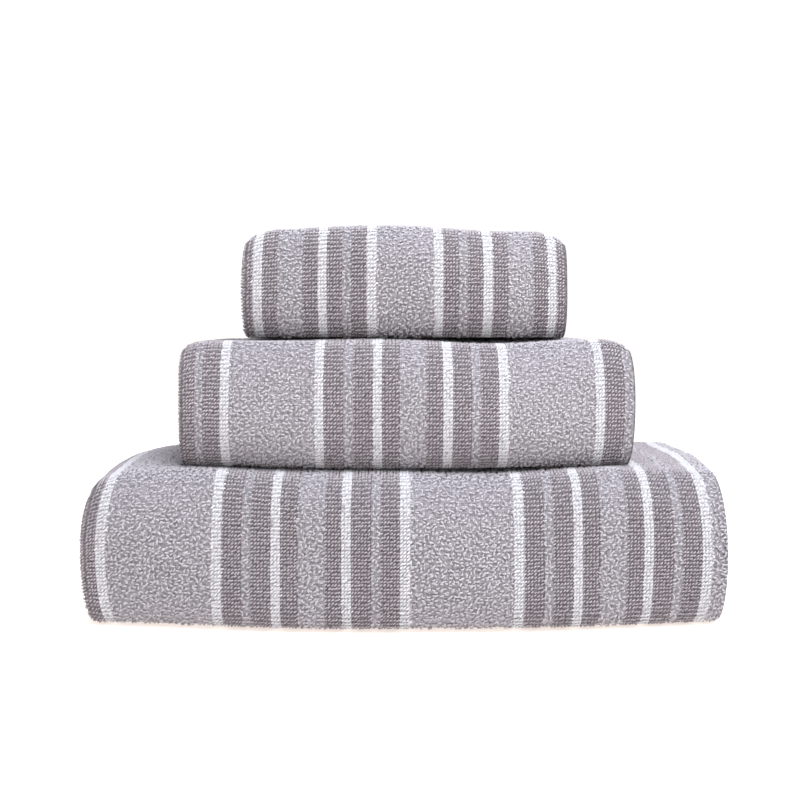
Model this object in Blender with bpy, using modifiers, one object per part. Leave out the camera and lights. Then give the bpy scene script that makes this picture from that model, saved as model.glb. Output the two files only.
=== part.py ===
"""A set of three folded terry towels in a stack, with the largest at the bottom.

Metres, +Z up. The origin is at the middle of the stack's underside. The smooth front folds
face -Y and run along X. Each towel is folded once along its length, with that fold on the -X
side, then across its length until one last fold lies at the front. Its two ends, each with a
sewn hem, lie over each other in the lowest two panels at the back.
"""

from dataclasses import dataclass

import bmesh
import bpy
from mathutils import Matrix, Vector

# Clearance between pieces that touch on the real towels.
GAP = 0.0003

# An end hem: the cloth is woven flat there, turned over and sewn down.
HEM_WIDTH = 0.018
HEM_LEAF = 0.003
HEM_FOLD_GAP = 0.0016
# The folded ends lie this much further in than the folds above them.
END_SHORTFALL = 0.017
# From the side of a towel to the end of its hem, which is thinner than the pile around it.
HEM_SIDE_INSET = 0.004
# The row of stitches, measured from the hem's inner edge.
SEAM_INSET = 0.003

# A blank care label, caught under the stitches of the lower hem near the selvedges.
LABEL_WIDTH = 0.035
LABEL_THICKNESS = 0.0006
LABEL_TAB = 0.013
LABEL_FROM_SIDE = 0.055

# The panels that end at the back, which are also those under the opening of the last fold of a
# towel that is folded in thirds.
END_PANELS = 2

# How far a cutter runs past the faces it cuts.
CUT_OVER = 0.02


@dataclass
class Towel:
    """One folded towel: its sizes as it lies, and where it lies."""

    name: str
    width: float
    depth: float
    panels: int  # double lengths of cloth that lie on each other once it is folded
    layer: float  # thickness of one of the two layers of a panel, as it lies
    front_setback: float  # from the front of the lowest towel to this one's front
    front_radius: float
    corner_radius: float
    side_radius: float
    opens: bool  # True where nothing lies on it, so that its last fold can open

    @property
    def panel(self):
        return 2 * self.layer

    @property
    def height(self):
        return self.panels * self.panel


TOWELS = (
    Towel("bath_sheet", 0.450, 0.204, 8, 0.0071, 0.0, 0.034, 0.030, 0.016, False),
    Towel("bath_towel", 0.330, 0.177, 8, 0.00575, 0.018, 0.027, 0.024, 0.013, False),
    Towel("hand_towel", 0.240, 0.165, 6, 0.0069, 0.036, 0.025, 0.020, 0.012, True),
)


def make_material(name, colour, roughness):
    """A Principled surface that isn't metallic."""
    surface = bpy.data.materials.new(name)
    surface.use_nodes = True
    shader = surface.node_tree.nodes["Principled BSDF"]
    shader.inputs["Base Color"].default_value = (*colour, 1)
    shader.inputs["Roughness"].default_value = roughness
    shader.inputs["Metallic"].default_value = 0
    return surface


def make_empty(name, place, parent, parts):
    """An empty at a world place, which carries the pieces that move with it."""
    empty = bpy.data.objects.new(name, None)
    parts.objects.link(empty)
    empty.parent = parent
    empty.location = place - (parent.matrix_world.translation if parent else Vector())
    bpy.context.view_layer.update()
    return empty


def make_box(name, low, high, parent, collection):
    """A box between two world corners, with its own origin at its middle."""
    low, high = Vector(low), Vector(high)
    mesh = bpy.data.meshes.new(name)
    shape = bmesh.new()
    bmesh.ops.create_cube(shape, size=1, matrix=Matrix.LocRotScale(None, None, high - low))
    shape.to_mesh(mesh)
    shape.free()
    box = bpy.data.objects.new(name, mesh)
    collection.objects.link(box)
    box.parent = parent
    box.location = (low + high) / 2 - parent.matrix_world.translation
    return box


def round_edges(box, radii):
    """Bevels a box's edges. Each is named by which way its middle lies from the box's."""
    shape = bmesh.new()
    shape.from_mesh(box.data)
    share = shape.edges.layers.float.new("bevel_weight_edge")
    widest = max(radii.values())
    for edge in shape.edges:
        middle = (edge.verts[0].co + edge.verts[1].co) / 2
        side = tuple(round(c / abs(c)) if abs(c) > 1e-6 else 0 for c in middle)
        edge[share] = radii.get(side, 0) / widest
    shape.to_mesh(box.data)
    shape.free()
    bevel = box.modifiers.new("Soft edges", "BEVEL")
    bevel.limit_method = "WEIGHT"
    bevel.width = widest
    bevel.segments = 5
    box.data.shade_smooth()


def cut(piece, name, low, high, cutters):
    """Takes a box between two world corners away from a piece."""
    cutter = make_box(name, low, high, piece.parent, cutters)
    cutter.hide_render = True
    cutter.display_type = "WIRE"
    boolean = piece.modifiers.new(name, "BOOLEAN")
    boolean.operation = "DIFFERENCE"
    boolean.object = cutter


def soft_radii(towel, below, above):
    """The radius of each edge of a folded towel, or of the leaf of it with that underside or top."""
    radii = {(side, -1, 0): towel.corner_radius for side in (-1, 1)}
    for up, rounded in ((-1, below), (1, above)):
        if rounded:
            radii[0, -1, up] = towel.front_radius
            radii[0, 1, up] = towel.side_radius
            radii |= {(side, 0, up): towel.side_radius for side in (-1, 1)}
    return radii


def make_cloth(name, towel, base, low_z, high_z, parent, surface, parts):
    """Folded cloth between two heights over the towel's own underside."""
    corner = Vector((towel.width / 2, towel.depth, 0))
    low = base + Vector((-corner.x, 0, low_z))
    high = base + Vector((corner.x, corner.y, high_z))
    cloth = make_box(name, low, high, parent, parts)
    round_edges(cloth, soft_radii(towel, low_z == 0, high_z == towel.height))
    cloth.data.materials.append(surface)
    return cloth


def make_hem(towel, base, label, level, parent, surfaces, parts, cutters):
    """A hem, doubled over at -X like the cloth it ends, and its row of stitches inside."""
    half = towel.width / 2 - HEM_SIDE_INSET
    start = towel.depth - END_SHORTFALL - HEM_WIDTH + GAP
    end = start + HEM_WIDTH - GAP
    middle = (level + 0.5) * towel.panel
    reach = HEM_LEAF + HEM_FOLD_GAP / 2
    hem = make_box(
        f"{towel.name}_{label}_end_hem",
        base + Vector((-half, start, middle - reach)),
        base + Vector((half, end, middle + reach)),
        parent,
        parts,
    )
    hem.data.materials.append(surfaces["hem"])
    cut(
        hem,
        f"{towel.name}_{label}_hem_fold_cut",
        base + Vector((-half + HEM_LEAF, start - CUT_OVER, middle - HEM_FOLD_GAP / 2)),
        base + Vector((half + CUT_OVER, end + CUT_OVER, middle + HEM_FOLD_GAP / 2)),
        cutters,
    )
    left = -half + HEM_LEAF + GAP
    bpy.ops.mesh.primitive_cylinder_add(
        vertices=12,
        radius=HEM_FOLD_GAP / 2 - GAP,
        depth=half - left,
        rotation=Vector((0, 0, 1)).rotation_difference(Vector((1, 0, 0))).to_euler(),
    )
    stitches = bpy.context.object
    stitches.name = stitches.data.name = f"{towel.name}_{label}_hem_stitching"
    stitches.parent = parent
    place = base + Vector(((left + half) / 2, start + SEAM_INSET, middle))
    stitches.location = place - parent.matrix_world.translation
    stitches.data.materials.append(surfaces["thread"])
    stitches.data.set_sharp_from_angle(angle=0.8)
    for collection in list(stitches.users_collection):
        collection.objects.unlink(stitches)
    parts.objects.link(stitches)
    return middle + reach, start + SEAM_INSET, end


def make_towel(towel, base, parent, surfaces, parts, cutters):
    """A folded towel whose front underside edge passes through base. Returns its top's carrier."""
    notch = END_SHORTFALL + HEM_WIDTH
    ends_top = END_PANELS * towel.panel
    carrier = make_empty(f"{towel.name}_carrier", base, parent, parts)
    if towel.opens:
        name, top = f"{towel.name}_lower_leaf", ends_top - GAP / 2
        axis = base + Vector((0, 0, ends_top))
        hinge = make_empty(f"{towel.name}_fold_axis", axis, carrier, parts)
        make_cloth(
            f"{towel.name}_upper_leaf",
            towel,
            base,
            ends_top + GAP / 2,
            towel.height,
            hinge,
            surfaces["terry"],
            parts,
        )
    else:
        name, top = f"{towel.name}_cloth", towel.height
    cloth = make_cloth(name, towel, base, 0, top, carrier, surfaces["terry"], parts)
    cut(
        cloth,
        f"{towel.name}_ends_cut",
        base + Vector((-towel.width, towel.depth - notch, -CUT_OVER)),
        base + Vector((towel.width, towel.depth + CUT_OVER, ends_top)),
        cutters,
    )
    for level, label in enumerate(("lower", "upper")):
        hem = make_hem(towel, base, label, level, carrier, surfaces, parts, cutters)
        if label == "lower":
            hem_top, seam, hem_end = hem
    right = towel.width / 2 - LABEL_FROM_SIDE
    care_label = make_box(
        f"{towel.name}_care_label",
        base + Vector((right - LABEL_WIDTH, seam, hem_top + GAP)),
        base + Vector((right, hem_end + LABEL_TAB, hem_top + GAP + LABEL_THICKNESS)),
        carrier,
        parts,
    )
    care_label.data.materials.append(surfaces["label"])
    return carrier


def main():
    for obj in list(bpy.data.objects):
        bpy.data.objects.remove(obj)
    parts = bpy.data.collections.new("bath_towel_set")
    cutters = bpy.data.collections.new("bath_towel_set_cutters")
    for collection in (parts, cutters):
        bpy.context.scene.collection.children.link(collection)
    surfaces = {
        "terry": make_material("grey_striped_terry", (0.35, 0.32, 0.34), 1.0),
        "hem": make_material("flat_woven_cotton", (0.42, 0.39, 0.41), 0.9),
        "thread": make_material("white_sewing_thread", (0.75, 0.74, 0.76), 0.6),
        "label": make_material("white_label_satin", (0.80, 0.80, 0.80), 0.5),
    }
    front = -TOWELS[0].depth / 2
    base = Vector((0, front, 0))
    carrier = None
    for towel in TOWELS:
        base.y = front + towel.front_setback
        carrier = make_towel(towel, base.copy(), carrier, surfaces, parts, cutters)
        base.z += towel.height + GAP


main()
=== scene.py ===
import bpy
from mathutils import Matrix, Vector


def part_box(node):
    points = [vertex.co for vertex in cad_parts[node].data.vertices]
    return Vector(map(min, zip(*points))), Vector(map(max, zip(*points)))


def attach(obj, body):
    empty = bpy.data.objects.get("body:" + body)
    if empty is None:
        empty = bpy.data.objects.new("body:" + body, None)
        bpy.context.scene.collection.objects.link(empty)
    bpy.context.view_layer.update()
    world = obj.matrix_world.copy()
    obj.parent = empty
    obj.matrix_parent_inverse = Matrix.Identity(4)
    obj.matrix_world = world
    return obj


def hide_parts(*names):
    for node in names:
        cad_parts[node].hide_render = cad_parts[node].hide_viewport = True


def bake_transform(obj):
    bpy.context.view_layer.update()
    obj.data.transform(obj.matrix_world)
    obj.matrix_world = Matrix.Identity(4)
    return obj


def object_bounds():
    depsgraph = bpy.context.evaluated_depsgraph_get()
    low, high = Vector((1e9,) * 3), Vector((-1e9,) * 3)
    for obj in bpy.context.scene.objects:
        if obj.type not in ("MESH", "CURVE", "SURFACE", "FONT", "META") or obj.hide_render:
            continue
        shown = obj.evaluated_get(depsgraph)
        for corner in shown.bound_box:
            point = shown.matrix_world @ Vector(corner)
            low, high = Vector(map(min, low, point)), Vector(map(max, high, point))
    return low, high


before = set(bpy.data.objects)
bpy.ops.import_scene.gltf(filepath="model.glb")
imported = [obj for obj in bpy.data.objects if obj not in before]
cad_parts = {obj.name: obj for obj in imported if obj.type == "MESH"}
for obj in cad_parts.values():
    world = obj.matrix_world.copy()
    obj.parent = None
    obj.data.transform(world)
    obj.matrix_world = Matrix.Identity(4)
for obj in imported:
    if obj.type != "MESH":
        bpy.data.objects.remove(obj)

from types import SimpleNamespace

import bmesh
import bpy
import numpy as np
from mathutils import Vector

cad_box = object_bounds()


# ---- Towels ------------------------------------------------------------------------------
# Each towel is one length of cotton terry, woven in one piece with lengthwise stripes of plain,
# curled and white pile. It is folded along its length, then across it, and lies as one block.

CLOTH_SHARE = 0.62  # of a layer's height is woven ground; the pile on both faces fills the rest
NOSE_DEPTH = 0.60  # how far the front and back folds reach, as a share of half their height
NOSE_STEPS = 65
FIRM_NOSE = 0.05  # half the height of a fold that is pressed as square as its towel's flatness
TOP_FLATNESS = 1.3  # of the upper half of a fold, which nothing presses
ROUTE_STEPS = 6000


def woven(name, nodes, flat, folds, stripes, first_stripe, droop, fullness, sink, plump, flatness):
    """A towel: its woven size, folds and stripes, and how it has settled.

    Droop is, for the left and right side, how far its upper edge sinks as a share of the height,
    and over what width at the front and at the back. Fullness is how far each side swells, sink
    how far the lowest and highest layers are pressed down at the front, plump how far the back
    corners stand up, and flatness how square the lower half of a fold is pressed.
    """
    low, high = np.array(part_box(nodes[0])[0]), np.array(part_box(nodes[-1])[1])
    return SimpleNamespace(
        name=name, nodes=nodes, flat=flat, folds=folds, stripes=stripes,
        first_stripe=first_stripe, droop=droop, fullness=fullness, sink=sink,
        plump=plump, flatness=flatness, low=low, size=high - low,
    )


# Stripes are the widths, from one white stripe's middle to the next, of the curled band, the
# plain band, the plain band with a wide curled middle, and the plain band again.
TOWELS = (
    woven(
        "bath_sheet", ["bath_sheet_cloth"], (0.90, 1.50), ("half", "half", "half"),
        stripes=(0.0787, 0.0415, 0.0492, 0.0405), first_stripe=0.015,
        droop=((0.19, 0.024, 0.085), (0.02, 0.020, 0.020)), fullness=(0.005, 0.003), sink=(0, 0.004),
        plump=0.003, flatness=3.0,
    ),
    woven(
        "bath_towel", ["bath_towel_cloth"], (0.66, 1.30), ("half", "half", "half"),
        stripes=(0.0691, 0.0414, 0.0500, 0.0396), first_stripe=0.0352,
        droop=((0.12, 0.022, 0.022), (0.09, 0.020, 0.020)), fullness=(-0.002, 0.002), sink=(0.0056, 0.003),
        plump=-0.001, flatness=0.8,
    ),
    woven(
        "hand_towel", ["hand_towel_lower_leaf", "hand_towel_upper_leaf"], (0.48, 0.90),
        ("half", "thirds"), stripes=(0.0484, 0.0359, 0.0482, 0.0359), first_stripe=0.096,
        droop=((0.20, 0.030, 0.030), (0.18, 0.030, 0.030)), fullness=(0, 0), sink=(0.0044, 0.0015),
        plump=0.0, flatness=1.1,
    ),
)


def panel_levels(folds):
    """Which level each panel of the cloth comes to lie at, in order along the cloth."""
    count = 8 if folds[-1] == "half" else 6
    columns = [[panel] for panel in range(count)]
    for fold in folds:
        if fold == "half":
            middle = len(columns) // 2
            columns = [
                under + over[::-1]
                for under, over in zip(columns[:middle], columns[middle:][::-1])
            ]
        else:
            under, middle, over = columns
            columns = [under + over + middle[::-1]]
    return [columns[0].index(panel) for panel in range(count)]


def nose(tip, inward, low, high, rising, flatness):
    """The bend of one fold, as y and z along it: squarer where the weight presses it down."""
    angle = np.linspace(-np.pi / 2, np.pi / 2, NOSE_STEPS)
    half_height = (high - low) / 2
    reach = NOSE_DEPTH * half_height
    firmness = half_height / FIRM_NOSE
    squareness = 2 + firmness * np.where(angle < 0, flatness, TOP_FLATNESS)
    y = tip + inward * reach * (1 - np.cos(angle) ** (2 / squareness))
    z = (high + low) / 2 + half_height * np.sign(angle) * np.abs(np.sin(angle)) ** (2 / squareness)
    return (y, z) if rising else (y[::-1], z[::-1])


def lay_route(towel):
    """Finds the line the doubled cloth follows through all its folds, from end to end."""
    levels = panel_levels(towel.folds)
    towel.panel = towel.size[2] / len(levels)
    towel.layer = towel.panel / 2
    depth = towel.size[1]
    links = list(zip(levels, levels[1:]))
    bends = []
    for index, link in enumerate(links):
        front = index % 2 == 0
        around = [
            other for other in links[index % 2 :: 2]
            if min(other) < min(link) and max(other) > max(link)
        ]
        tip = (len(around) + 0.5) * towel.panel
        low, high = [(level + 0.5) * towel.panel for level in sorted(link)]
        edge, inward = (tip, 1) if front else (depth - tip, -1)
        line = nose(edge, inward, low, high, link[1] > link[0], towel.flatness)
        bends.append((line, front, not around, (low + high) / 2))
    y, z = [
        np.concatenate(([first], *[line[axis] for line, *_ in bends], [last]))
        for axis, first, last in (
            (0, depth, depth),
            (1, (levels[0] + 0.5) * towel.panel, (levels[-1] + 0.5) * towel.panel),
        )
    ]
    along = np.concatenate(([0], np.cumsum(np.hypot(np.diff(y), np.diff(z)))))
    along -= (along[-1] - towel.flat[1]) / 2
    towel.along = np.linspace(0, towel.flat[1], ROUTE_STEPS)
    towel.y, towel.z = [np.interp(towel.along, along, line) for line in (y, z)]
    heading = np.unwrap(np.arctan2(np.gradient(towel.z), np.gradient(towel.y)))
    eased = 15  # route steps over which the cloth's heading is averaged
    padded = np.pad(heading, eased // 2, mode="edge")
    towel.heading = np.convolve(padded, np.ones(eased) / eased, mode="valid")
    towel.turns = []
    step = 1
    for (bend_y, bend_z), front, outermost, middle_z in bends:
        towel.turns.append(SimpleNamespace(
            start=along[step], end=along[step + len(bend_y) - 1], front=front,
            outermost=outermost, inner=(bend_y[0], middle_z), rising=bend_z[-1] > bend_z[0],
        ))
        step += len(bend_y)


def smooth(share):
    """Eases from 0 to 1."""
    share = np.clip(share, 0, 1)
    return share * share * (3 - 2 * share)


def folded(towel, u, s, rise):
    """Where a point u across and s along the flat cloth lies once folded. Rise is off its face."""
    bend = towel.layer / 2
    straight = (towel.flat[0] - np.pi * bend) / 2
    turned = np.clip((u - straight) / bend, 0, np.pi)
    past = np.maximum(u - straight - np.pi * bend, 0)
    x = towel.layer - towel.size[0] / 2 - np.sin(turned) * (bend + rise)
    x = x + np.maximum(straight - u, 0) + past
    side = -np.cos(turned) * (bend + rise)
    heading = np.interp(s, towel.along, towel.heading)
    y = np.interp(s, towel.along, towel.y) - side * np.sin(heading)
    z = np.interp(s, towel.along, towel.z) + side * np.cos(heading)
    return np.stack([x, y, z], axis=-1)


BOW = 0.022  # how far the front's ends curve back
BELLY = 0.003  # how far the front's middle height stands out
PRESSED_DEPTH = 0.10  # from the front, how far back the towels' weight has pressed them down
TOP_WAVE = 0.0011
FRONT_WAVE = 0.0012


def settled(towel, place):
    """Lets the folded towel settle: its front bows, its sides fill out and its shoulders sink."""
    x, y, z = np.moveaxis(place, -1, 0)
    half, depth, height = towel.size[0] / 2, towel.size[1], towel.size[2]
    over = np.maximum(z - 2 * towel.panel, 0) / (height - 2 * towel.panel)
    for side, (share, at_front, at_back) in zip((-1, 1), towel.droop):
        radius = at_front + (at_back - at_front) * smooth(y / depth)
        near = np.clip((x * side - half + radius) / radius, 0, 1.1) / 1.1
        # A quarter of an ellipse, which ends just short of upright.
        z = z - over * height * share * (1 - np.sqrt(1 - 0.98 * near**2))
    front = smooth(1 - y / (0.6 * depth))
    belly = np.sin(np.pi * np.clip(z / height, 0, 1))
    lower, upper = towel.sink
    pressed = smooth(1 - (y + towel.low[1] - cad_box[0][1]) / PRESSED_DEPTH)
    z = z - (lower + (upper - lower) * z / height) * pressed
    z = z + towel.plump * over * smooth(np.abs(x) / half * 7 - 5) * smooth(y / (0.7 * depth))
    y = y + BOW * front * (np.abs(x) / half) ** 1.6
    y = y - BELLY * front * belly
    for side, fullness in zip((-1, 1), towel.fullness):
        x = x + side * fullness * belly * smooth((side * x - 0.6 * half) / (0.4 * half))
    z = z + TOP_WAVE * over * (np.sin(x * 41 + y * 17 + 1.3) + np.sin(x * 23 - y * 37 + z * 50))
    y = y + FRONT_WAVE * front * np.sin(x * 33 + z * 61 + 0.7)
    return np.stack([x, y, z], axis=-1) + [0, towel.low[1], towel.low[2]]


def on_cloth(towel, u, s, rise=0.0):
    """Where a point of the flat cloth lies in the stack."""
    return settled(towel, folded(towel, u, s, rise))


def node(tree, kind, inputs=(), **settings):
    """Adds a node with its settings, and sets or links its inputs."""
    made = tree.nodes.new(kind)
    for name, value in settings.items():
        setattr(made, name, value)
    for key, value in dict(inputs).items():
        if isinstance(value, bpy.types.NodeSocket):
            tree.links.new(value, made.inputs[key])
        else:
            made.inputs[key].default_value = value
    return made


def linear(code):
    """An sRGB hex colour as linear RGBA."""
    parts = [int(code[i : i + 2], 16) / 255 for i in (1, 3, 5)]
    return (*[p / 12.92 if p <= 0.04045 else ((p + 0.055) / 1.055) ** 2.4 for p in parts], 1)


YARNS = {"plain": "#aba5a7", "curled": "#b1adb0", "white": "#cbcacc"}
# Painted shade: the ground and the loops' feet take these darker colours, which stand in for the shade
# between the loops.
PAINTED_SHADE_BETWEEN_LOOPS = {"plain": "#645e62", "curled": "#838084", "white": "#a8a7aa"}
WHITE_STRIPE = 0.0068
NARROW_CURLED = 0.0065  # down the middle of a plain band
WIDE_CURLED = 0.0190


def stripe_runs(towel):
    """One repeat of the stripes, as pairs of where a run of yarn starts and its kind."""
    curled, *plain = towel.stripes
    half = WHITE_STRIPE / 2
    runs = [(0, "white"), (half, "curled"), (curled - half, "white")]
    start = curled
    for width, middle in zip(plain, (NARROW_CURLED, WIDE_CURLED, NARROW_CURLED)):
        runs += [
            (start + half, "plain"),
            (start + (width - middle) / 2, "curled"),
            (start + (width + middle) / 2, "plain"),
            (start + width - half, "white"),
        ]
        start += width
    return runs, start


def cloth_coordinates(tree, towel):
    """Metres across and along the flat cloth, as a vector."""
    uv = node(tree, "ShaderNodeUVMap", uv_map="OFBake")
    return node(
        tree, "ShaderNodeVectorMath", {0: uv.outputs[0], 1: (*towel.flat, 1)}, operation="MULTIPLY",
    ).outputs[0]


def stripe_colour(tree, towel, place, colours):
    """The colour at a place on the cloth, from one colour for each kind of yarn."""
    runs, repeat = stripe_runs(towel)
    u = node(tree, "ShaderNodeSeparateXYZ", {0: place}).outputs[0]
    first = towel.flat[0] / 2 + towel.first_stripe
    moved = node(tree, "ShaderNodeMath", {0: u, 1: first}, operation="SUBTRACT")
    within = node(tree, "ShaderNodeMath", {0: moved.outputs[0], 1: repeat}, operation="FLOORED_MODULO")
    share = node(tree, "ShaderNodeMath", {0: within.outputs[0], 1: repeat}, operation="DIVIDE")
    ramp = node(tree, "ShaderNodeValToRGB", {0: share.outputs[0]})
    ramp.color_ramp.interpolation = "CONSTANT"
    stops = ramp.color_ramp.elements
    stops.remove(stops[1])
    for start, yarn in runs:
        stop = stops[0] if start == 0 else stops.new(start / repeat)
        stop.color = linear(colours[yarn])
    return ramp.outputs[0]


def threads(tree, place, pitch):
    """The height of a plain weave whose threads cross at this pitch, from 0 to 1."""
    waves = [
        node(
            tree, "ShaderNodeTexWave", {"Vector": place, "Scale": np.pi / (10 * pitch)},
            bands_direction=direction,
        ).outputs[1]
        for direction in ("X", "Y")
    ]
    return node(tree, "ShaderNodeMath", {0: waves[0], 1: waves[1]}, operation="MULTIPLY").outputs[0]


def new_finish(name, roughness, sheen):
    """A fabric: rough, with a faint bloom where its fibres stand away from it."""
    surface = bpy.data.materials.new(name)
    surface.use_nodes = True
    shader = surface.node_tree.nodes["Principled BSDF"]
    shader.inputs["Roughness"].default_value = roughness
    shader.inputs["Sheen Weight"].default_value = sheen
    shader.inputs["Sheen Roughness"].default_value = 0.6
    return surface, surface.node_tree, shader


def scaled(tree, colour, factor):
    """A colour made lighter or darker by a factor."""
    return node(tree, "ShaderNodeVectorMath", {0: colour, 3: factor}, operation="SCALE").outputs[0]


GROUND_THREADS = 0.0013  # from thread to thread, drawn coarse enough to show
LINT = 0.0022  # the size of the tufts that make the ground uneven


def ground_terry(towel):
    """Woven cotton ground between the loops: dead matt, and painted dark with the shade that the pile
    casts on it.
    """
    surface, tree, shader = new_finish(f"{towel.name}_terry_ground", 1.0, 0.0)
    place = cloth_coordinates(tree, towel)
    weave = threads(tree, place, GROUND_THREADS)
    lint = node(tree, "ShaderNodeTexNoise", {"Vector": place, "Scale": 1 / LINT, "Detail": 1.0})
    mottle = node(tree, "ShaderNodeMapRange", {0: lint.outputs[0], 1: 0.35, 2: 0.65, 3: 0.62, 4: 1.25})
    # Painted shade: the ground is coloured with each stripe's darker between-loops colour.
    colour = scaled(tree, stripe_colour(tree, towel, place, PAINTED_SHADE_BETWEEN_LOOPS), mottle.outputs[0])
    tree.links.new(colour, shader.inputs["Base Color"])
    bump = node(tree, "ShaderNodeBump", {"Height": weave, "Distance": 0.0003})
    tree.links.new(bump.outputs[0], shader.inputs["Normal"])
    return surface


def add_piece(name, mesh, surface):
    """Turns a mesh into a piece of the object, with its finish."""
    mesh.materials.append(surface)
    mesh.shade_smooth()
    piece = bpy.data.objects.new(name, mesh)
    bpy.context.scene.collection.objects.link(piece)
    return piece


def laid_grid(name, across, along, place):
    """A sheet of cloth from a flat grid. Place turns two grid distances into a point and a UV."""
    sheet = bmesh.new()
    bmesh.ops.create_grid(sheet, x_segments=len(across) - 1, y_segments=len(along) - 1, size=0.5)
    mesh = bpy.data.meshes.new(name)
    sheet.to_mesh(mesh)
    sheet.free()
    flat = np.zeros(len(mesh.vertices) * 3, np.float32)
    mesh.vertices.foreach_get("co", flat)
    flat = flat.reshape(-1, 3)[:, :2] + 0.5
    column, row = np.rint(flat * [len(across) - 1, len(along) - 1]).astype(int).T
    points, spread = place(across[column], along[row])
    mesh.vertices.foreach_set("co", points.ravel().astype(np.float32))
    corner = np.zeros(len(mesh.loops), np.int32)
    mesh.loops.foreach_get("vertex_index", corner)
    laid = mesh.uv_layers.new(name="OFBake")
    laid.data.foreach_set("uv", spread[corner].ravel().astype(np.float32))
    return mesh


HALF_COLUMNS = 34  # on each half of the doubled cloth
TURN_COLUMNS = 9  # round its lengthwise fold


def cloth_columns(towel):
    """Distances across the flat cloth, close together where it is doubled over."""
    straight = (towel.flat[0] - np.pi * towel.layer / 2) / 2
    run = np.linspace(0, straight, HALF_COLUMNS)
    around = np.linspace(straight, towel.flat[0] - straight, TURN_COLUMNS)[1:-1]
    return np.concatenate((run, around, towel.flat[0] - run[::-1]))


HEM_WIDTH = 0.018  # at each end, which is woven flat and has no pile
ROW_IN_FOLD = 0.0045
ROW_BETWEEN = 0.012
FEWEST_ROWS = 8


def cloth_rows(towel):
    """Distances along the cloth, close together round each fold."""
    ends = [HEM_WIDTH, *[edge for bend in towel.turns for edge in (bend.start, bend.end)]]
    ends.append(towel.flat[1] - HEM_WIDTH)
    rows = [np.array([HEM_WIDTH])]
    for index, (start, end) in enumerate(zip(ends, ends[1:])):
        step = ROW_IN_FOLD if index % 2 else ROW_BETWEEN
        rows.append(np.linspace(start, end, max(int((end - start) / step), FEWEST_ROWS))[1:])
    return np.concatenate(rows)


def thicken(piece, thickness):
    """Gives a sheet its thickness, half on each side."""
    solid = piece.modifiers.new("Cloth thickness", "SOLIDIFY")
    solid.thickness = thickness
    solid.offset = 0


def make_cloth(towel):
    """The whole length of terry between its two hems, as one folded sheet."""
    def place(u, s):
        """Spreads the cloth's own two directions over its UV square."""
        return on_cloth(towel, u, s), np.stack([u, s], axis=-1) / towel.flat

    name = f"{towel.name}_terry_sheet"
    mesh = laid_grid(name, cloth_columns(towel), cloth_rows(towel), place)
    cloth = add_piece(name, mesh, ground_terry(towel))
    thicken(cloth, CLOTH_SHARE * towel.layer)
    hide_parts(*towel.nodes)
    return cloth


def bend_with(towel, piece):
    """Attaches a piece to its towel's body; the hand towel's cloth and front pile, which run across where
    its last fold opens above two panels, stay unattached with their transform baked into the mesh.
    """
    if len(towel.nodes) == 1:
        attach(piece, towel.name)
    else:
        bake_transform(piece)


for towel in TOWELS:
    lay_route(towel)
    towel.cloth = make_cloth(towel)
    bend_with(towel, towel.cloth)
    towel.trimmings = []


# ---- Pile --------------------------------------------------------------------------------
# Uncut loops of soft cotton yarn stand on both faces of the ground. Plain and white stripes
# have short even loops, leaning one way in rows; the curled bands have longer, tangled ones.
# Real loops stand closer together: these are coarser, so that each one shows.

YARN_RADIUS = 0.00056
ARCH_RADIUS = 0.00076
LOOPS = {
    "plain": SimpleNamespace(pitch=(0.0023, 0.0026), size=0.95, length=1.15, looseness=0.13, lean=38),
    "curled": SimpleNamespace(pitch=(0.0029, 0.0027), size=1.12, length=1.10, looseness=0.40, lean=None),
    "white": SimpleNamespace(pitch=(0.0023, 0.0026), size=1.12, length=1.15, looseness=0.13, lean=38),
}
LOOPS_A_PIECE = 8200
OUTER_PARTS = ("front", "top", "back", "folded_side", "selvedge_side")
COVERED_PARTS = ("resting", "inner")
COVERED_COARSER = 1.5  # loops that only show when a towel is lifted or opened are larger and fewer


def loop_shape():
    """One arched loop of yarn standing on both its feet, as points and faces."""
    loop = bmesh.new()
    ring = bmesh.ops.create_circle(loop, segments=4, radius=YARN_RADIUS)
    bmesh.ops.translate(loop, verts=ring["verts"], vec=(ARCH_RADIUS, 0, 0))
    bmesh.ops.spin(
        loop, geom=loop.edges[:], cent=(0, 0, 0), axis=(0, -1, 0), dvec=(0, 0, 0),
        angle=np.pi, steps=3, use_merge=False, use_duplicate=False,
    )
    return shape_of(loop)


def shape_of(form):
    """A form's points and faces, to be repeated."""
    form.verts.index_update()
    points = np.array([vert.co for vert in form.verts])
    faces = np.array([[vert.index for vert in face.verts] for face in form.faces])
    form.free()
    return points, faces


def loop_columns(towel, kind, pitch):
    """Distances across the cloth of one kind of loop, spread evenly over each of its stripes."""
    runs, repeat = stripe_runs(towel)
    starts = [start for start, _ in runs[1:]]
    first = towel.flat[0] / 2 + towel.first_stripe
    columns = []
    for (start, yarn), end in zip(runs[1:], (*starts[1:], repeat + WHITE_STRIPE / 2)):
        if yarn == kind:
            count = max(round((end - start) / pitch), 1)
            within = start + (end - start) * (np.arange(count) + 0.5) / count
            for turn in range(-int(first / repeat) - 1, int(towel.flat[0] / repeat)):
                columns.append(first + turn * repeat + within)
    columns = np.sort(np.concatenate(columns))
    return columns[(columns > pitch / 2) & (columns < towel.flat[0] - pitch / 2)]


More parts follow.
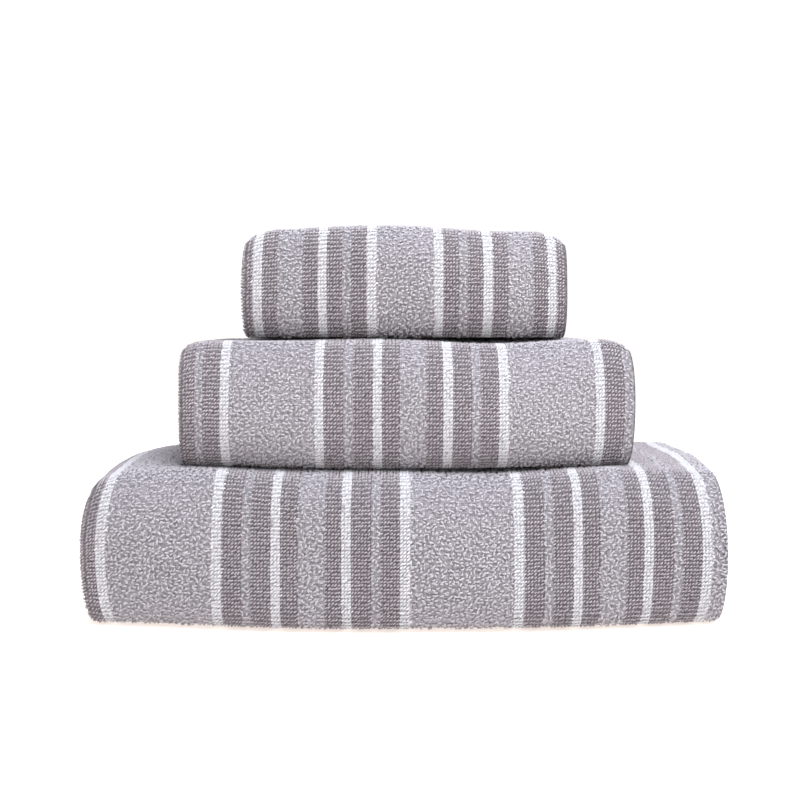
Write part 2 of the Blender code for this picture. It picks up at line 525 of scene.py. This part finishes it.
def loop_places(towel, above, coarser):
    """Where loops stand: u, s, face, yarn, part of the towel, and 1 on a half that opens."""
    draw = np.random.default_rng(7)
    found = []
    for index, (kind, loop) in enumerate(LOOPS.items()):
        pitch_u, pitch_s = [pitch * coarser for pitch in loop.pitch]
        across = loop_columns(towel, kind, pitch_u)
        along = np.arange(HEM_WIDTH, towel.flat[1] - HEM_WIDTH, pitch_s)
        u, s = [grid.ravel() for grid in np.meshgrid(across, along)]
        u = u + draw.uniform(-loop.looseness, loop.looseness, len(u)) * pitch_u
        s = s + draw.uniform(-loop.looseness, loop.looseness, len(u)) * pitch_s
        for face in (1, -1):
            part = part_at(towel, u, s, face, above)
            opens = (folded(towel, u, s, 0.0)[:, 2] > 2 * towel.panel) & (len(towel.nodes) == 2)
            same = np.ones(len(u))
            found.append(np.stack([u, s, face * same, index * same, part, opens]))
    return np.concatenate(found, axis=1)


EDGE_BAND = 0.007  # of each selvedge shows at the side
END_BAND = 0.012  # of pile beside each hem shows at the back
UNDER_SIDES = 0.018  # how far inside the towel above the pile is out of sight, at its sides,
UNDER_FRONT = 0.016  # at its front
UNDER_BACK = 0.045  # and at its back
FOLD_EDGE = 0.002  # of pile beside a fold belongs to it


def part_at(towel, u, s, face, above):
    """Which part of the folded towel each place shows on, or -1 where it is shut inside."""
    parts = OUTER_PARTS + COVERED_PARTS
    place = folded(towel, u, s, 0.0)
    out = (folded(towel, u, s, face * 0.001) - place) * 1000
    level = place[:, 2] / towel.layer
    part = np.full(len(u), -1)
    if face > 0:
        near_fold = np.abs(u - towel.flat[0] / 2) < np.pi * towel.layer / 4 + FOLD_EDGE
        part[near_fold] = parts.index("folded_side")
        top = (level > towel.size[2] / towel.layer - 0.8) & (out[:, 2] > 0.3)
        part[top] = parts.index("top")
        for bend in towel.turns:
            if bend.outermost:
                within = (s > bend.start - FOLD_EDGE) & (s < bend.end + FOLD_EDGE)
                within = within & (out[:, 2] > -0.93)
                away = ((place[:, 1:] - bend.inner) * out[:, 1:]).sum(axis=1)
                part[within & (away > 0)] = parts.index("front" if bend.front else "back")
        ends = (s < HEM_WIDTH + END_BAND) | (s > towel.flat[1] - HEM_WIDTH - END_BAND)
        part[ends & (part < 0) & (level > 1)] = parts.index("back")
        if len(towel.nodes) == 2:
            opened = (np.abs(level - 4) < 0.8) & (np.abs(out[:, 2]) > 0.5)
            part[opened & (part < 0)] = parts.index("inner")
    edge = (u < EDGE_BAND) | (u > towel.flat[0] - EDGE_BAND)
    part[edge & (part < 0)] = parts.index("selvedge_side")
    part[(level < 0.6) & (out[:, 2] < -0.9)] = -1
    if above is not None:
        rest = settled(towel, place)
        under = (
            (np.abs(rest[:, 0]) < above.size[0] / 2 - UNDER_SIDES)
            & (rest[:, 1] > above.low[1] + UNDER_FRONT)
            & (rest[:, 1] < above.low[1] + above.size[1] - UNDER_BACK)
            & (part == parts.index("top"))
        )
        part[under] = parts.index("resting")
    return part


def unit(vectors):
    """Each vector at a length of one."""
    return vectors / np.linalg.norm(vectors, axis=-1, keepdims=True)


def cloth_axes(towel, u, s, rise):
    """A point on a face of the cloth, and the directions across it, along it and out of it."""
    step = 0.0004
    root = on_cloth(towel, u, s, rise)
    across = unit(on_cloth(towel, u + step, s, rise) - root)
    along = unit(on_cloth(towel, u, s + step, rise) - root)
    return root, across, along, unit(on_cloth(towel, u, s, rise + np.sign(rise) * step) - root)


def repeated(name, places, faces, flipped, spread):
    """One mesh of many copies of a shape: places is copies × points, spread is its UVs."""
    count, points = places.shape[:2]
    corners = faces[None] + np.arange(count)[:, None, None] * points
    corners = np.where(flipped[:, None, None], corners[:, :, ::-1], corners)
    sides = faces.shape[1]
    mesh = bpy.data.meshes.new(name)
    mesh.vertices.add(count * points)
    mesh.vertices.foreach_set("co", places.ravel().astype(np.float32))
    mesh.loops.add(corners.size)
    mesh.loops.foreach_set("vertex_index", corners.ravel().astype(np.int32))
    mesh.polygons.add(corners.size // sides)
    mesh.polygons.foreach_set("loop_start", np.arange(0, corners.size, sides, dtype=np.int32))
    flat = spread.reshape(-1, 2)[corners.ravel()]
    mesh.uv_layers.new(name="OFBake").data.foreach_set("uv", flat.ravel().astype(np.float32))
    mesh.update()
    mesh.validate()
    return mesh


CURL = 0.0012  # how far a tangled loop's feet are pushed sideways, at most
STRAY = 0.0005  # how far the yarn's colour strays over the edge of its stripe
SUNK = 0.45  # the feet stand at this share of the ground's thickness, just inside its face


def make_loops(towel, name, places, coarser, slant):
    """One piece of pile: every loop leans, tips, stretches and curls a little differently."""
    points, faces = LOOP_SHAPE
    draw = np.random.default_rng(len(places[0]))
    u, s, face, kind, part, opens = places
    kind = kind.astype(int)
    count = len(u)
    base = face * CLOTH_SHARE * SUNK * towel.layer
    root, across, along, outward = cloth_axes(towel, u, s, base)
    lean = np.radians([loop.lean or 0 for loop in LOOPS.values()])[kind] * slant
    tangled = np.array([loop.lean is None for loop in LOOPS.values()])[kind]
    astray = draw.normal(0.35 * slant, 0.65, count)
    turned = np.where(tangled, astray, lean + draw.normal(0, 0.17, count))
    size = np.array([loop.size for loop in LOOPS.values()])[kind] * coarser
    size = size * draw.uniform(0.92, 1.08, count)
    length = np.array([loop.length for loop in LOOPS.values()])[kind]
    top = points[:, 2].max()
    tall = (towel.layer / 2 - np.abs(base)) / top * draw.uniform(0.85, 1.2, count)
    tipped = draw.uniform(0.1, 0.5, count) * np.where(tangled, draw.choice((-1, 1), count), 1)
    squared = points[:, 0] * (1 + 0.4 * points[:, 2] / top)
    from_middle = squared[None] * (size * length)[:, None]
    sideways = points[None, :, 1] * size[:, None] + points[None, :, 2] * tipped[:, None]
    curl = CURL * tangled * draw.uniform(-1, 1, count)
    sideways = sideways + (points[None, :, 0] / points[:, 0].max()) ** 2 * curl[:, None]
    cos, sin = np.cos(turned)[:, None], np.sin(turned)[:, None]
    move_u = from_middle * cos - sideways * sin
    move_s = from_middle * sin + sideways * cos
    move_out = points[None, :, 2] * tall[:, None]
    places = (
        root[:, None] + move_u[..., None] * across[:, None] + move_s[..., None] * along[:, None]
        + move_out[..., None] * outward[:, None]
    )
    flipped = np.einsum("ij,ij->i", np.cross(across, along), outward) < 0
    # Painted shade: each loop gets darker down towards its feet, where the pile shades it, and lighter at
    # its crown; the random share gives each loop its own tone.
    shade = 0.05 + 0.60 * points[None, :, 2] / top + 0.35 * draw.random(count)[:, None]
    strayed = u + draw.normal(0, STRAY, count)
    spread = np.stack([(strayed[:, None] + 0.3 * move_u) / towel.flat[0], shade], axis=-1)
    mesh = repeated(name, places, faces, flipped, spread)
    pile = add_piece(name, mesh, towel.pile_cotton)
    if part[0] == OUTER_PARTS.index("front"):
        bend_with(towel, pile)
    else:
        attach(pile, towel.name + ("_upper_half" if opens[0] else ""))
    towel.trimmings.append(pile)


def pile_cotton(towel):
    """Soft loops of combed cotton: matt with a faint bloom, pale at their tips, with painted shade
    darkening them down towards the ground.
    """
    surface, tree, shader = new_finish(f"{towel.name}_cotton_pile", 0.95, 0.06)
    uv = node(tree, "ShaderNodeUVMap", uv_map="OFBake")
    # The UV's second coordinate carries each point's painted shade: its height in the loop, plus a random
    # tone.
    height = node(tree, "ShaderNodeSeparateXYZ", {0: uv.outputs[0]}).outputs[1]
    place = cloth_coordinates(tree, towel)
    # Painted shade: the colour runs from the painted shade low in the pile to the yarn's colour at the
    # crown.
    painted_shade_foot, tip = [stripe_colour(tree, towel, place, colours) for colours in (PAINTED_SHADE_BETWEEN_LOOPS, YARNS)]
    colour = node(tree, "ShaderNodeMix", {0: height, 6: painted_shade_foot, 7: tip}, data_type="RGBA").outputs[2]
    tree.links.new(colour, shader.inputs["Base Color"])
    return surface


LOOP_SHAPE = loop_shape()
for towel, above in zip(TOWELS, (*TOWELS[1:], None)):
    towel.pile_cotton = pile_cotton(towel)
    slant = 1 if towel.turns[0].rising else -1
    for names, coarser in ((OUTER_PARTS, 1.0), (COVERED_PARTS, COVERED_COARSER)):
        places = loop_places(towel, above, coarser)
        for index, part in enumerate(OUTER_PARTS + COVERED_PARTS):
            if part not in names:
                continue
            here = places[:, places[4] == index]
            halves = [here] if part == "front" else [here[:, here[5] == half] for half in (0, 1)]
            for half, chosen in zip(("", "upper_"), halves):
                count = -(-chosen.shape[1] // LOOPS_A_PIECE)
                if count == 0:
                    continue
                for number, share in enumerate(np.array_split(chosen, count, axis=1)):
                    name = f"{towel.name}_{half}{part}_pile_{number + 1}"
                    make_loops(towel, name, share, coarser, slant)


# ---- Turned end hems ---------------------------------------------------------------------
# The last 18 mm at each end is woven flat, turned over and stitched down, so it has no pile.
# The stripes run on through it. All six ends lie at the back, in each towel's lowest panels.

HEM_HALF = 0.0013  # half the thickness of the hem where it is turned over
HEM_LOFT = 1.15  # how far the turned cloth springs open, as a share of that
SEAM_PULL = 0.45  # how much of it the seam pulls flat
PINCH = 0.0022  # how far from the seam its thread still pulls
ROUND_END = 0.1  # the part of the turn that goes round the end
HEM_CLOTH = 0.0008
HEM_THREADS = 0.0011  # from thread to thread, drawn coarse enough to show
SEAM_FROM_EDGE = 0.003


def hem_cotton(towel):
    """Flat plain-woven cotton: the same stripes without loops, matt and finely ribbed, with painted shade
    between its threads.
    """
    surface, tree, shader = new_finish(f"{towel.name}_flat_woven_hem", 0.9, 0.15)
    place = cloth_coordinates(tree, towel)
    weave = threads(tree, place, HEM_THREADS)
    # Painted shade: the cloth is painted darker in the low parts of the weave, between its threads.
    shade = node(tree, "ShaderNodeMapRange", {0: weave, 3: 0.78, 4: 1.02}).outputs[0]
    colour = scaled(tree, stripe_colour(tree, towel, place, YARNS), shade)
    tree.links.new(colour, shader.inputs["Base Color"])
    bump = node(tree, "ShaderNodeBump", {"Height": weave, "Distance": 0.0002})
    tree.links.new(bump.outputs[0], shader.inputs["Normal"])
    return surface


def make_hem(towel, end):
    """One end of the cloth, turned over and pinched where it is sewn."""
    def place(u, turn):
        """Turn runs from -1, the hem's inner edge below, round the end at 0, to 1 above."""
        past_end = np.maximum(np.abs(turn) - ROUND_END, 0) / (1 - ROUND_END)
        from_end = HEM_HALF + (HEM_WIDTH - HEM_HALF) * past_end
        bend = np.clip(turn / ROUND_END, -1, 1) * np.pi / 2
        from_end = np.where(np.abs(turn) < ROUND_END, HEM_HALF * (1 - np.cos(bend)), from_end)
        pinch = np.exp(-(((HEM_WIDTH - SEAM_FROM_EDGE - from_end) / PINCH) ** 2))
        pucker = 1 + 0.10 * np.sin(u * 900) * pinch
        rise = np.sin(bend) * HEM_HALF * (HEM_LOFT - SEAM_PULL * pinch) * pucker
        s = from_end if end == "lower" else towel.flat[1] - from_end
        return on_cloth(towel, u, s, rise), np.stack([u, s + 0.02 * turn], axis=-1) / towel.flat

    name = f"{towel.name}_{end}_turned_hem"
    around = np.concatenate((
        np.linspace(-1, -ROUND_END, 10),
        np.linspace(-ROUND_END, ROUND_END, 7)[1:-1],
        np.linspace(ROUND_END, 1, 10),
    ))
    mesh = laid_grid(name, cloth_columns(towel), around, place)
    hem = add_piece(name, mesh, towel.hem_cotton)
    thicken(hem, HEM_CLOTH)
    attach(hem, towel.name)
    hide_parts(f"{towel.name}_{end}_end_hem")
    towel.trimmings.append(hem)


for towel in TOWELS:
    towel.hem_cotton = hem_cotton(towel)
    for end in ("lower", "upper"):
        make_hem(towel, end)


# ---- Hem stitching -----------------------------------------------------------------------
# Lockstitch in polyester-cotton thread holds each hem down, 3 mm from its inner edge. The
# stitches sink into the cloth at their ends and stand up slightly in their middles.

STITCH_PITCH = 0.0030
STITCH = (0.00135, 0.00030, 0.00026)  # half its length, width and height
STITCH_PROUD = 0.0002
PLY = 0.0009  # along the thread, from one turn of its plies to the next


def stitch_shape():
    """One stitch, 2.7 mm of thread lying along X."""
    stitch = bmesh.new()
    bmesh.ops.create_icosphere(stitch, subdivisions=1, radius=1)
    bmesh.ops.scale(stitch, verts=stitch.verts, vec=STITCH)
    return shape_of(stitch)


def sewing_thread():
    """Twisted polyester-cotton thread: pale grey, slightly glossy, with painted shade in the grooves
    between its plies.
    """
    surface, tree, shader = new_finish("polyester_cotton_thread", 0.55, 0.1)
    place = node(tree, "ShaderNodeTexCoord").outputs["Object"]
    plies = node(
        tree, "ShaderNodeTexWave", {"Vector": place, "Scale": np.pi / (10 * PLY)},
        bands_direction="DIAGONAL",
    ).outputs[1]
    # Painted shade: the grooves between the plies get the darker grey.
    colours = {0: plies, 6: linear("#b9b6ba"), 7: linear("#dcdadd")}
    colour = node(tree, "ShaderNodeMix", colours, data_type="RGBA")
    tree.links.new(colour.outputs[2], shader.inputs["Base Color"])
    return surface


def make_stitching(towel, end):
    """One row of stitches, from selvedge to selvedge."""
    points, faces = STITCH_SHAPE
    u = np.arange(0.004, towel.flat[0] - 0.004, STITCH_PITCH)
    inset = HEM_WIDTH - SEAM_FROM_EDGE
    s = np.full(len(u), inset if end == "lower" else towel.flat[1] - inset)
    on_hem = (HEM_LOFT - SEAM_PULL) * HEM_HALF + HEM_CLOTH / 2
    rise = np.full(len(u), on_hem + STITCH_PROUD)
    root, across, along, outward = cloth_axes(towel, u, s, rise)
    axes = np.stack([across, along, outward], axis=1)
    places = root[:, None] + np.einsum("pk,nkd->npd", points, axes)
    flipped = np.einsum("ij,ij->i", np.cross(across, along), outward) < 0
    name = f"{towel.name}_{end}_hem_stitches"
    spread = np.broadcast_to((points[None, :, :2] * 300 + 0.5), (len(u), len(points), 2))
    stitches = add_piece(name, repeated(name, places, faces, flipped, spread), THREAD)
    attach(stitches, towel.name)
    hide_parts(f"{towel.name}_{end}_hem_stitching")
    towel.trimmings.append(stitches)


STITCH_SHAPE = stitch_shape()
THREAD = sewing_thread()
for towel in TOWELS:
    for end in ("lower", "upper"):
        make_stitching(towel, end)


# ---- Care labels -------------------------------------------------------------------------
# A blank loop of satin tape, 35 mm wide and folded in half, is caught under the stitching of
# each towel's lower end hem and hangs out past its edge.

TAPE = 0.0002
FREE_END = 0.12  # the part of the tape's length that goes round its free end
RESTS_AT = 0.008  # from the cloth's end, where the label lies on the hem
FLOATS = 0.0008  # from one of the satin's long threads to the next, drawn coarse enough to show


def label_satin():
    """White polyester satin: smooth and softly glossy, with painted shade along the fine lines between its
    long floats.
    """
    surface, tree, shader = new_finish("polyester_satin_tape", 0.38, 0.1)
    place = node(tree, "ShaderNodeTexCoord").outputs["Object"]
    floats = node(
        tree, "ShaderNodeTexWave", {"Vector": place, "Scale": np.pi / (10 * FLOATS)},
        bands_direction="X",
    ).outputs[1]
    # Painted shade: the low lines between the floats get the darker white.
    colours = {0: floats, 6: linear("#dddcda"), 7: linear("#f1f0ee")}
    colour = node(tree, "ShaderNodeMix", colours, data_type="RGBA")
    tree.links.new(colour.outputs[2], shader.inputs["Base Color"])
    bump = node(tree, "ShaderNodeBump", {"Height": floats, "Distance": 0.00005})
    tree.links.new(bump.outputs[0], shader.inputs["Normal"])
    return surface


def make_label(towel):
    """One label, lying level from the stitches that hold it to its folded free end."""
    (left, sewn, _), (right, free, _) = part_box(f"{towel.name}_care_label")
    middle = towel.flat[0] / 2 + np.pi * towel.layer / 4 + (left + right) / 2 + towel.size[0] / 2
    on_hem = HEM_LOFT * HEM_HALF + HEM_CLOTH / 2
    rest = on_cloth(towel, np.array([middle]), np.array([RESTS_AT]), on_hem)[0, 2]

    def place(across, turn):
        """Turn runs from -1, sewn down below, round the free end at 0, back to 1 above."""
        out = 1 - np.abs(turn)
        gap = 2 * TAPE * np.sign(turn) * np.sqrt(np.clip(np.abs(turn) / FREE_END, 0, 1))
        drop = 0.0003 * smooth((out - 0.5) / 0.5) + 0.0003 * np.sin(across * 260)
        x = left + (right - left) * across
        point = np.stack([x, sewn + (free - sewn) * out, rest + 2 * TAPE + gap - drop * out], axis=-1)
        return point, np.stack([across, 0.5 + turn / 2], axis=-1)

    name = f"{towel.name}_satin_label"
    turns = np.concatenate((
        np.linspace(-1, -FREE_END, 12),
        np.linspace(-FREE_END, FREE_END, 9)[1:-1],
        np.linspace(FREE_END, 1, 12),
    ))
    mesh = laid_grid(name, np.linspace(0, 1, 13), turns, place)
    label = add_piece(name, mesh, LABEL_SATIN)
    thicken(label, TAPE)
    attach(label, towel.name)
    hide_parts(f"{towel.name}_care_label")
    towel.trimmings.append(label)


LABEL_SATIN = label_satin()
for towel in TOWELS:
    make_label(towel)


# ---- Studio ------------------------------------------------------------------------------
# The stack stands on warm white paper, in soft white light from all round that is dimmer
# overhead, with one large soft light high on the right that shapes the folds.

floor_mesh = bpy.data.meshes.new("studio_floor")
floor_form = bmesh.new()
bmesh.ops.create_grid(floor_form, x_segments=1, y_segments=1, size=60)
floor_form.to_mesh(floor_mesh)
floor_form.free()
paper = bpy.data.materials.new("matt_white_paper")
paper.use_nodes = True
paper_inputs = paper.node_tree.nodes["Principled BSDF"].inputs
paper_inputs["Base Color"].default_value = linear("#f6f2ee")
paper_inputs["Roughness"].default_value = 0.95
paper_inputs["Emission Color"].default_value = linear("#fff3ea")
paper_inputs["Emission Strength"].default_value = 0.7
floor_mesh.materials.append(paper)
floor = bpy.data.objects.new("studio_floor", floor_mesh)
bpy.context.scene.collection.objects.link(floor)

world = bpy.data.worlds.new("white_studio")
bpy.context.scene.world = world
world.use_nodes = True
background = world.node_tree.nodes["Background"]
background.inputs[0].default_value = linear("#fafbff")
direction = node(world.node_tree, "ShaderNodeTexCoord").outputs["Generated"]
upward = node(world.node_tree, "ShaderNodeSeparateXYZ", {0: direction}).outputs[2]
OVERHEAD = {1: 0.32, 2: 0.7, 3: 1.1, 4: 0.25}  # from 1.1 low down to 0.25 overhead
dimmed = node(world.node_tree, "ShaderNodeMapRange", {0: upward, **OVERHEAD})
world.node_tree.links.new(dimmed.outputs[0], background.inputs[1])

key_data = bpy.data.lights.new("high_soft_light", "AREA")
key_data.size = 1.2
key_data.energy = 53
key_data.color = linear("#f4f6ff")[:3]
key = bpy.data.objects.new("high_soft_light", key_data)
bpy.context.scene.collection.objects.link(key)
key.location = (0.36, -0.80, 1.45)
key.rotation_euler = (Vector((0, 0, 0.1)) - key.location).to_track_quat("-Z", "Y").to_euler()

DISTANCE = 0.75  # from the camera to the front of the lowest towel
EYE_HEIGHT = 0.2105
lens = bpy.data.cameras.new("camera")
lens.sensor_width = 36
lens.lens = 49.1
lens.shift_y = -0.085
lens.clip_start = 0.01
camera = bpy.data.objects.new("camera", lens)
bpy.context.scene.collection.objects.link(camera)
camera.location = (-0.0018, cad_box[0][1] - DISTANCE, EYE_HEIGHT)
camera.rotation_euler = (np.pi / 2, 0, 0)
bpy.context.scene.camera = camera
bpy.context.scene.view_settings.view_transform = "Standard"
